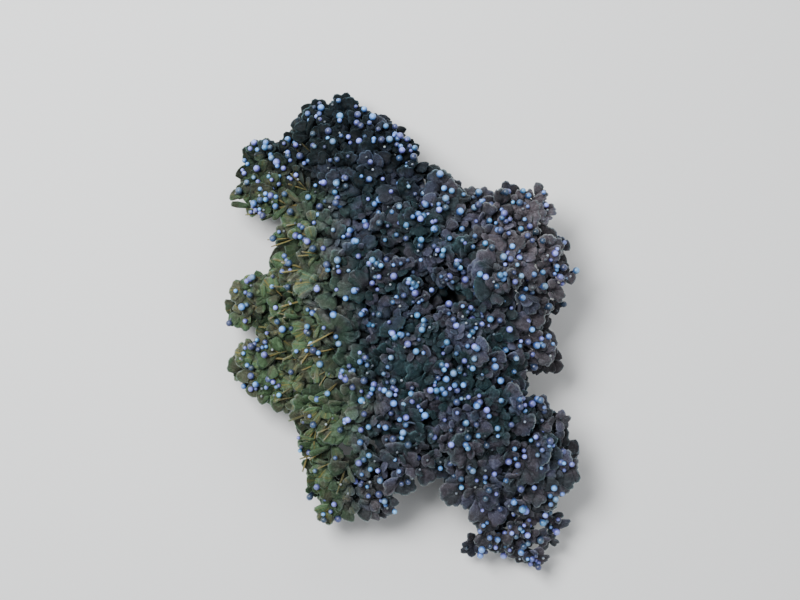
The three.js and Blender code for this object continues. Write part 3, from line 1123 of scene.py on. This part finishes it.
young = maths(t, "LESS_THAN", chance(t, 0.0, 1.0, BEAD_SEED.young, each), ports["Young Share"])
girth = maths(t, "POWER", chance(t, 0.0, 1.0, BEAD_SEED.girth, each), 1.4)
girth = ramp(t, girth, ports["Smallest"], ports["Largest"])
girth = choose(t, young, girth, YOUNG_GIRTH)
points = keep(t, points, "young", young)
points = keep(t, points, "lot", chance(t, 0.0, 1.0, BEAD_SEED.lot, each))
patch = vector(
    t, "ADD", named(t, "patch", "FLOAT_VECTOR"), xyz(t, times(t, order, PATCH_STEP))
)
points = keep(t, points, "patch", patch, "FLOAT_VECTOR")
turn = turned_by(t, turn, lean)
pieces = set_pieces(t, points, ports["Beads"], 0, turn, girth, ports["Material"])
feed(t, result[0], pieces)
print("vesicle tree", len(t.nodes), "nodes")

# %% [markdown]
# ## Colours
#
# The flesh is thin and lets light in, so every material has some subsurface scattering, in
# millimetres. Two effects are shared as groups. The first gives the flesh its tint by place:
# slate and mauve with lilac clouds in the middle, olive with umber towards one side, and brown at
# the near end and on the right. Over the far end it lays a near-black painted shade. It also gives
# a painted shade, which darkens the far end and the hollow in the middle further. The second is a
# fine mottling, from the brown algae that live in the animal's tissue.

# %% Helpers for shader groups
def new_group(name, inputs, outputs):
    """A shader group with named sockets. Gives the group, its inputs and its outputs."""
    group = bpy.data.node_groups.new(name, "ShaderNodeTree")
    for label, (kind, value) in inputs.items():
        socket = group.interface.new_socket(label, in_out="INPUT", socket_type="NodeSocket" + kind)
        socket.default_value = value
    for label, kind in outputs.items():
        group.interface.new_socket(label, in_out="OUTPUT", socket_type="NodeSocket" + kind)
    ports = group.nodes.new("NodeGroupInput").outputs
    return group, ports, group.nodes.new("NodeGroupOutput").inputs


def use_group(tree, group, **values):
    """The outputs of a shader group, with its values set."""
    inputs = {name.replace("_", " ").title(): value for name, value in values.items()}
    return add(tree, "ShaderNodeGroup", inputs, node_tree=group).outputs


def mix(tree, factor, first, second, blend="MIX"):
    """One colour mixed over another."""
    inputs = {0: factor, 6: first, 7: second}
    return add(tree, "ShaderNodeMix", inputs, data_type="RGBA", blend_type=blend).outputs[2]


def band(tree, value, low, high, bottom=0.0, top=1.0):
    """Maps low..high smoothly onto bottom..top."""
    inputs = {0: value, 1: low, 2: high, 3: bottom, 4: top}
    return add(tree, "ShaderNodeMapRange", inputs, interpolation_type="SMOOTHSTEP").outputs[0]


def noise(tree, place, scale, detail=2.0):
    """A cloudy pattern with so many clouds to the metre."""
    inputs = {"Vector": place, "Scale": scale, "Detail": detail}
    return add(tree, "ShaderNodeTexNoise", inputs).outputs[0]


def object_place(tree):
    """Where a point of the surface is, in metres."""
    return add(tree, "ShaderNodeTexCoord").outputs["Object"]


def rgb(red, green, blue):
    """An opaque colour."""
    return (red, green, blue, 1.0)


# %% The group that tints the flesh by its place in the crown and paints shade over it
SLATE = rgb(0.010, 0.025, 0.030)
MAUVE = rgb(0.026, 0.025, 0.035)
BROWN = rgb(0.066, 0.056, 0.064)
OLIVE = rgb(0.046, 0.084, 0.038)
UMBER = rgb(0.056, 0.051, 0.034)
# The next colour is painted shade: the near-black that darkens the far end of the crown.
FAR_END_PAINTED_SHADE = rgb(0.002, 0.009, 0.014)
LILAC = rgb(0.048, 0.055, 0.098)
DRIFT = 30 * MM
HOLLOW_LEFT = 18 * MM
HOLLOW_BACK = 12 * MM

tints_and_shade, ports, result = new_group(
    "crown_tints_and_shade", {"Shift": ("Float", 0.0)},
    {"Flesh": "Color", "Olive": "Float", "Shade": "Float"},
)
t = tints_and_shade
place, shift = object_place(t), ports["Shift"]
x, y, _ = add(t, "ShaderNodeSeparateXYZ", {0: place}).outputs
drift = times(t, minus(t, noise(t, place, 45.0), 0.5), DRIFT)

west = minus(t, drift, plus(t, x, times(t, y, OLIVE_LEAN)))
west = band(t, west, OLIVE_START, OLIVE_FULL)
north = plus(t, y, drift)
corner = plus(t, north, times(t, plus(t, x, 45 * MM), 0.4))
olive = times(t, west, band(t, corner, 36 * MM, 54 * MM, 1.0, 0.1))
south = band(t, minus(t, drift, y), 40 * MM, 85 * MM)
east = band(t, plus(t, x, plus(t, drift, times(t, y, 0.4))), 12 * MM, 38 * MM)
ends = maths(t, "MAXIMUM", times(t, south, 0.7), east)
# A painted shade over the far end, strongest on its left side.
far_end_shade = times(t, band(t, north, 24 * MM, 50 * MM), band(t, x, -15 * MM, 8 * MM, 0.9, 0.1))

mauve = band(t, plus(t, noise(t, place, 110.0), shift), 0.40, 0.62)
lilac = plus(t, noise(t, place, 75.0), times(t, shift, 0.3))
umber = times(t, band(t, noise(t, place, 160.0), 0.42, 0.62), 0.75)
flesh = mix(t, mauve, SLATE, MAUVE)
flesh = mix(t, times(t, ends, 0.85), flesh, BROWN)
flesh = mix(t, far_end_shade, flesh, FAR_END_PAINTED_SHADE)
flesh = mix(t, band(t, lilac, 0.50, 0.68, 0.0, 0.55), flesh, LILAC)
feed(t, result["Flesh"], mix(t, olive, flesh, mix(t, umber, OLIVE, UMBER)))
feed(t, result["Olive"], olive)

# The hollow in the middle gets a painted shade, darkest within a centimetre, which fades out at 33
# millimetres. Its distance stays squared, in square metres.
off_x, off_y = plus(t, x, HOLLOW_LEFT), minus(t, y, HOLLOW_BACK)
off = plus(t, times(t, off_x, off_x), times(t, off_y, off_y))
hollow_shade = band(t, off, 0.0001, 0.0011, 0.3, 0.0)
# The shade output is painted shade, over the far end and the hollow in the middle.
feed(t, result["Shade"], minus(t, 1.0, maths(t, "MAXIMUM", times(t, far_end_shade, 0.62), hollow_shade)))
print("tints_and_shade", len(t.nodes), "nodes")

# %% The group that mottles the flesh
grains, ports, result = new_group(
    "tissue_grains", {"Scale": ("Float", 2500.0)}, {"Mask": "Float", "Height": "Float"}
)
t = grains
place = object_place(t)
speckle = noise(t, place, ports["Scale"])
clouds = band(t, noise(t, place, 260.0, 3.0), 0.35, 0.65)
feed(t, result["Mask"], times(t, plus(t, band(t, speckle, 0.45, 0.7), clouds), 0.5))
feed(t, result["Height"], speckle)
print("grains", len(t.nodes), "nodes")

# %% [markdown]
# ## The finish of a frond
#
# A frond is dark, matt flesh with faint veins and a paler, speckled margin, which is painted light
# shining through the thin edge. A painted shade darkens its root, where the fronds of a whorl crowd.
# On the olive side some carry fine golden lines along them, and the hair-thin streaks are golden
# all over. Each frond has a lot, a random number that makes it a little lighter or darker than
# its neighbours, and the lower storey gets a painted shade, darker than the upper one.

# %% Helpers for finishes
def attribute(tree, name):
    """A number that the mesh carries at each point."""
    return add(tree, "ShaderNodeAttribute", attribute_name=name).outputs["Fac"]


def own_uv(tree):
    """How far across and along its own frond or vesicle a point is, each from 0 to 1."""
    uv = add(tree, "ShaderNodeUVMap", uv_map=OWN_UV).outputs[0]
    return add(tree, "ShaderNodeSeparateXYZ", {0: uv}).outputs[:2]


def dimmed(tree, colour, light):
    """A colour made darker, or brighter where the light is above 1."""
    return mix(tree, 1.0, colour, xyz(tree, light, light, light), "MULTIPLY")


def bumps(tree, height, strength):
    """A normal that a pattern tips as if it stood up to 0.3 mm high."""
    inputs = {"Height": height, "Strength": strength, "Distance": 0.3 * MM}
    return add(tree, "ShaderNodeBump", inputs).outputs[0]


# %% Frond finish
INK = rgb(0.012, 0.012, 0.014)
ROOT_PAINTED_SHADE = rgb(0.010, 0.009, 0.012)
GOLDEN_LINE = rgb(0.17, 0.14, 0.035)
GOLDEN_FLESH = rgb(0.15, 0.12, 0.038)
SHEEN_BLUE = rgb(0.55, 0.68, 0.75)

frond_material, shader = principled("frond_flesh")
t = frond_material.node_tree
lot, storey = attribute(t, "lot"), attribute(t, "storey")
tint = use_group(t, tints_and_shade, shift=ramp(t, lot, -0.16, 0.16))
grain = use_group(t, grains, scale=2200.0)
flesh, olive = tint["Flesh"], tint["Olive"]
across, along = own_uv(t)
aside = maths(t, "ABSOLUTE", minus(t, across, 0.5))
pale = mix(t, 1.0, flesh, rgb(1.7, 1.7, 1.7), "MULTIPLY")
pale = mix(t, 1.0, pale, rgb(0.014, 0.017, 0.019), "ADD")

colour = mix(t, times(t, grain["Mask"], 0.6), flesh, mix(t, 0.55, flesh, INK))
veins = band(t, cosine(t, across, 12 * math.pi), 0.3, 1.0)
veins = times(t, veins, band(t, along, 0.1, 0.6, 0.0, 0.3), ramp(t, olive, 0.35, 0.8))
colour = mix(t, veins, colour, pale)
swell = noise(t, object_place(t), 620.0)
specks = times(t, band(t, grain["Height"], 0.52, 0.68), 0.75)
specks = maths(t, "MAXIMUM", specks, band(t, swell, 0.54, 0.68, 0.0, 0.7))
colour = mix(t, specks, colour, pale)
# A paler margin: painted light shining through the thin edge, speckled by the grain.
rim = band(t, maths(t, "MAXIMUM", times(t, aside, 2.0), along), 0.80, 1.0)
rim = times(t, rim, band(t, grain["Height"], 0.35, 0.6, 0.15, 0.6))
colour = mix(t, rim, colour, pale)
# A painted shade at the root of each frond, where the whorl's fronds crowd; less on the olive side.
root = times(t, band(t, along, 0.0, 0.5, 0.6, 0.0), ramp(t, olive, 1.0, 0.25))
colour = mix(t, root, colour, ROOT_PAINTED_SHADE)

fine = band(t, cosine(t, across, 10 * math.pi), 0.90, 1.0, 0.0, 0.55)
streak = maths(t, "MAXIMUM", fine, band(t, aside, 0.01, 0.05, 0.7, 0.0))
streak = times(t, streak, band(t, along, 0.1, 0.4), attribute(t, "streak"))
streak = times(t, streak, band(t, lot, 0.45, 0.7), ramp(t, olive, 0.3, 1.0))
colour = mix(t, streak, colour, GOLDEN_LINE)
golden = times(t, attribute(t, "golden"), ramp(t, lot, 0.4, 1.0))
colour = mix(t, golden, colour, GOLDEN_FLESH)
# The lot gives a random tone. The lower storey gets a painted shade, and the tints' shade adds
# painted shade at the far end and in the hollow.
light = times(t, ramp(t, lot, 0.7, 1.35), ramp(t, storey, 0.45, 1.0), tint["Shade"])
height = plus(t, grain["Height"], times(t, swell, 3.0))
feed_all(t, shader, {
    "Base Color": dimmed(t, colour, light),
    "Normal": bumps(t, height, 0.45),
    "Roughness": ramp(t, grain["Mask"], 0.45, 0.65),
    "Specular IOR Level": 0.08,
    "Sheen Weight": 0.06,
    "Sheen Roughness": 0.5,
    "Sheen Tint": SHEEN_BLUE,
    "Subsurface Weight": 0.85,
    "Subsurface Radius": (0.8, 1.0, 1.0),
    "Subsurface Scale": 2.2 * MM,
})
print("frond finish", len(t.nodes), "nodes")

# %% [markdown]
# ## The finish of a vesicle
#
# A vesicle is a moist, smooth bead over a dark stalk, with a painted highlight at its top and a
# painted shade in dark blue underneath. Most are between violet and azure by their lot, and a few
# are teal or pewter. The young ones are cream. A second number, taken from the digits of the lot,
# dulls some of them and makes the painted highlight on the tops of others brighter.

# %% Vesicle finish
VIOLET = rgb(0.15, 0.13, 0.46)
AZURE = rgb(0.06, 0.17, 0.42)
TEAL = rgb(0.05, 0.20, 0.36)
PEWTER = rgb(0.07, 0.13, 0.15)
CREAM = rgb(0.24, 0.27, 0.25)
PERIWINKLE = rgb(0.20, 0.27, 0.62)
UNDERSIDE_PAINTED_SHADE = rgb(0.015, 0.03, 0.12)
HIGHLIGHT_BLUE = rgb(0.18, 0.38, 0.88)
HIGHLIGHT_SKY = rgb(0.23, 0.54, 1.0)
STALK_DARK = rgb(0.02, 0.02, 0.03)
DULL_BLUE = rgb(0.05, 0.09, 0.13)
LOT_DIGITS = 57.0

bead_material, shader = principled("vesicle_pearl")
t = bead_material.node_tree
lot, young = attribute(t, "lot"), attribute(t, "young")
vary = maths(t, "FRACT", times(t, lot, LOT_DIGITS))
grain = use_group(t, grains, scale=3000.0)
_, along = own_uv(t)

pearl = mix(t, band(t, lot, 0.30, 0.60), VIOLET, AZURE)
pearl = mix(t, band(t, lot, 0.76, 0.86), pearl, TEAL)
pearl = mix(t, band(t, lot, 0.92, 0.96), pearl, PEWTER)
pearl = mix(t, young, pearl, CREAM)
pearl = mix(t, times(t, grain["Mask"], 0.3), pearl, PERIWINKLE)
# Painted highlight: a paler pearl and a sky-blue tint on the top of each bead, weaker on young ones.
highlight_pearl = mix(t, 1.0, pearl, rgb(2.2, 2.2, 1.9), "MULTIPLY")
# Painted shade: dark blue over the lower part of each bead.
pearl = mix(t, band(t, along, 0.40, 0.96, 0.9, 0.0), pearl, UNDERSIDE_PAINTED_SHADE)
top_highlight = times(t, band(t, along, 0.72, 1.0, 0.0, 0.7), ramp(t, young, 1.0, 0.15))
highlight_colour = mix(t, band(t, vary, 0.72, 0.95), HIGHLIGHT_BLUE, HIGHLIGHT_SKY)
pearl = mix(t, top_highlight, pearl, mix(t, 0.5, highlight_colour, highlight_pearl))
pearl = mix(t, band(t, along, 0.16, 0.32, 0.9, 0.0), pearl, STALK_DARK)
pearl = mix(t, band(t, vary, 0.0, 0.45, 0.6, 0.0), pearl, DULL_BLUE)
feed_all(t, shader, {
    "Base Color": dimmed(t, pearl, ramp(t, vary, 0.30, 1.4)),
    "Roughness": ramp(t, grain["Mask"], 0.26, 0.40),
    "Specular IOR Level": 0.6,
    "Coat Weight": 0.3,
    "Coat Roughness": 0.12,
    "Subsurface Weight": 0.4,
    "Subsurface Radius": (0.7, 0.8, 1.0),
    "Subsurface Scale": 0.5 * MM,
})
print("vesicle finish", len(t.nodes), "nodes")

# %% [markdown]
# ## The finish of the skin
#
# The skin has one material with three zones, told apart by height and by distance from the
# middle: a tan foot and column with pale lengthwise lines, a disc round the mouth painted nearly
# black as the shade under the crown, and branches in the tint of the crown.

# %% Skin finish
FOOT_TAN = rgb(0.200, 0.132, 0.104)
COLLAR_TAN = rgb(0.118, 0.088, 0.088)
LINE_PALE = rgb(0.26, 0.20, 0.17)
DISC_PAINTED_SHADE = rgb(0.004, 0.010, 0.012)
GRAIN_DARK = rgb(0.022, 0.018, 0.018)

skin_material, shader = principled("skin_flesh")
t = skin_material.node_tree
x, y, z = add(t, "ShaderNodeSeparateXYZ", {0: object_place(t)}).outputs
radius = maths(t, "SQRT", plus(t, times(t, x, x), times(t, y, y)))
tint = use_group(t, tints_and_shade)
grain = use_group(t, grains, scale=1600.0)

lines = cosine(t, maths(t, "ARCTAN2", y, x), 2.0 * PLEATS)
on_column = times(t, band(t, z, 2 * MM, 6 * MM), band(t, z, 24 * MM, 28 * MM, 1.0, 0.0))
lines = times(t, band(t, lines, 0.72, 0.98, 0.0, 0.4), on_column)
column = mix(t, band(t, z, 4 * MM, 26 * MM), FOOT_TAN, COLLAR_TAN)
column = mix(t, lines, column, LINE_PALE)
tan_zone = band(t, radius, 19 * MM, 23 * MM, 1.0, 0.0)
tan_zone = times(t, tan_zone, band(t, z, 24 * MM, 29 * MM, 1.0, 0.0))
tan_zone = maths(t, "MAXIMUM", tan_zone, band(t, z, 4 * MM, 7 * MM, 1.0, 0.0))
colour = mix(t, tan_zone, tint["Flesh"], column)
# The disc round the mouth gets a nearly black painted shade, as if the crown above shaded it.
disc_shade = band(t, radius, 15 * MM, 18 * MM, 1.0, 0.0)
disc_shade = times(t, disc_shade, band(t, z, 27 * MM, 29 * MM, 0.0, 0.8))
disc_shade = times(t, disc_shade, band(t, z, 36 * MM, 40 * MM, 1.0, 0.0))
colour = mix(t, disc_shade, colour, DISC_PAINTED_SHADE)
colour = mix(t, times(t, grain["Mask"], 0.6), colour, GRAIN_DARK)
feed_all(t, shader, {
    "Base Color": colour,
    "Normal": bumps(t, grain["Height"], 0.3),
    "Roughness": ramp(t, grain["Mask"], 0.40, 0.58),
    "Specular IOR Level": 0.3,
    "Subsurface Weight": 0.25,
    "Subsurface Radius": (1.0, 0.6, 0.45),
    "Subsurface Scale": 1.0 * MM,
})
skin.data.materials.clear()
skin.data.materials.append(skin_material)
print("skin finish", len(t.nodes), "nodes")

# %% [markdown]
# ## Plant the crown
#
# First each whorl learns what it bears. Near the edge its fronds spread outwards, and on the
# olive side the upper storey grows fingers and golden streaks, but not at the very rim. How many
# fronds bear vesicles varies from whorl to whorl, and the far end has more of them.
#
# Each pseudotentacle is then grown on its own. Its whorls become a cloud of loose vertices with
# their attributes, once for the fronds and once for the vesicles.

# %% Decide what each whorl bears
VESICLE_SHARES = [0.22, 0.34, 0.19, 0.37, 0.30, 0.65, 0.21, 0.33, 0.26, 0.45, 0.24, 0.33, 0.21]
LOW_VESICLE_SHARE = 0.14
MOST_FINGERS = 0.52

for i, whorl in enumerate(whorls):
    outness, olive = whorl.outness, whorl.olive
    whorl.outward = math.atan2(whorl.place.y, whorl.place.x) + 0.35 * wobble(i)
    whorl.directed = outness + 0.25 * wobble(3 * i) > 0.55 or outness > 0.7
    whorl.streak = smooth(0.4, 0.6, outness) * smooth(0.3, 0.7, olive)
    whorl.size += 0.2 * whorl.streak
    inside = 1 - smooth(0.78, 0.92, outness)
    whorl.finger_share = MOST_FINGERS * whorl.storey * whorl.streak * inside
    whorl.broad = whorl.broad or (0.4 < olive and not whorl.storey and outness < 0.62)
    share = VESICLE_SHARES[whorl.number % len(VESICLE_SHARES)]
    share = share + 0.15 * outness if whorl.storey else LOW_VESICLE_SHARE
    northern = smooth(22 * MM, 48 * MM, whorl.place.y)
    whorl.vesicle_share = share * (1 + 0.15 * northern) * (1 - 0.35 * olive * (1 - northern))
print("fingers on", sum(w.finger_share > 0 for w in whorls), "whorls")

# %% Points that carry the whorls' attributes
BAKE_SPAN = 140 * MM
BAKE_MARGIN = 0.08
PLAIN_ATTRIBUTES = [
    "size", "finger_share", "broad", "outward", "directed", "streak", "storey", "vesicle_share",
]


def develop(whorl):
    """Where a whorl lies when the drooping canopy of its fan is rolled out flat, from 0 to 1.
    The upper storey is on the left half of the map, and the lower one on the right."""
    reach, x, y = whorl.fan.reach, whorl.place.x, whorl.place.y
    r = math.hypot(x, y)
    slopes = [DROOP * DROOP_POWER * (r * t / reach) ** (DROOP_POWER - 1) for t in shares(20)]
    length = r * sum(math.hypot(1, slope) for slope in slopes) / len(slopes)
    a = math.atan2(y, x) - math.radians(whorl.fan.azimuth)
    column = 0.25 if whorl.storey else 0.75
    aside, along = length * math.sin(a) / BAKE_SPAN, length * math.cos(a) / BAKE_SPAN
    return column + aside, BAKE_MARGIN + along, 0


def seed_points(name, chosen):
    """Loose vertices at the whorls, with everything that the trees read."""
    cloud = new_object(name, new_mesh(name, [tuple(w.place) for w in chosen]))
    columns = {
        "number": ("INT", [w.number + 1000 * w.storey for w in chosen]),
        "up": ("FLOAT_VECTOR", [tuple(w.normal) for w in chosen]),
        "bake_place": ("FLOAT_VECTOR", [develop(w) for w in chosen]),
    }
    for key in PLAIN_ATTRIBUTES:
        columns[key] = ("FLOAT", [float(getattr(w, key)) for w in chosen])
    for key, (kind, values) in columns.items():
        layer = cloud.data.attributes.new(key, kind, "POINT")
        field = "vector" if kind == "FLOAT_VECTOR" else "value"
        layer.data.foreach_set(field, np.array(values).ravel())
    return cloud


# %% Run a tree on some points
KEPT_ATTRIBUTES = {
    OWN_UV, "OFBake", "lot", "storey", "streak", "golden", "young", "position", "sharp_face",
    "material_index",
}


def grown(name, seeds, tree, values):
    """Runs a tree on some points, and gives the plain mesh that it grows."""
    modifier = seeds.modifiers.new("grow", "NODES")
    modifier.node_group = tree
    for item in tree.interface.items_tree:
        if item.in_out == "INPUT" and item.name in values:
            modifier[item.identifier] = values[item.name]
    piece = bake(seeds, name)
    layers = piece.data.attributes
    for layer_name in [a.name for a in layers if not a.name.startswith(".")]:
        if layer_name not in KEPT_ATTRIBUTES:
            layers.remove(layers[layer_name])
    return piece


# %% Grow the fronds and vesicles of each pseudotentacle
frond_pieces, bead_pieces = [], []
for k, fan in enumerate(FANS, 1):
    mine = [w for w in whorls if w.fan is fan]
    layout = {
        "Fewest": 5, "Most": 7, "Inner Rise": 0.75, "Outer Rise": -0.05,
        "Leaf Length": 5 * MM, "Seed": k,
    }
    values = {"Fronds": fronds, "Material": frond_material, **layout}
    frond_pieces.append(grown(f"fronds_{k}", seed_points(f"seeds_{k}", mine), frond_tree, values))
    values = {
        "Beads": beads, "Material": bead_material, "Smallest": 0.74, "Largest": 1.44,
        "Twin Gap": 1.9 * MM, "Young Share": 0.25, **layout,
    }
    seeds = seed_points(f"bead_seeds_{k}", mine)
    bead_pieces.append(grown(f"vesicles_{k}", seeds, bead_tree, values))
print("frond faces", [len(p.data.polygons) for p in frond_pieces])
print("vesicles", [len(p.data.polygons) // bead_faces for p in bead_pieces])

# %% [markdown]
# ## Join the model to its frame
#
# Nothing moves, so every piece rides on the one body. The skin stands for all the solids of
# flesh. The fronds and vesicles are new pieces that grow on it.

# %% Put the small pieces away
for group in (fronds, beads):
    for piece in list(group.objects):
        bpy.data.objects.remove(piece, do_unlink=True)
    bpy.data.collections.remove(group)
print("pieces", 1 + len(frond_pieces) + len(bead_pieces))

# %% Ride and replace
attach(skin, "root")
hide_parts(*frame["nodes"])
for piece in frond_pieces:
    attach(piece, "root")
for piece in bead_pieces:
    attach(piece, "root")
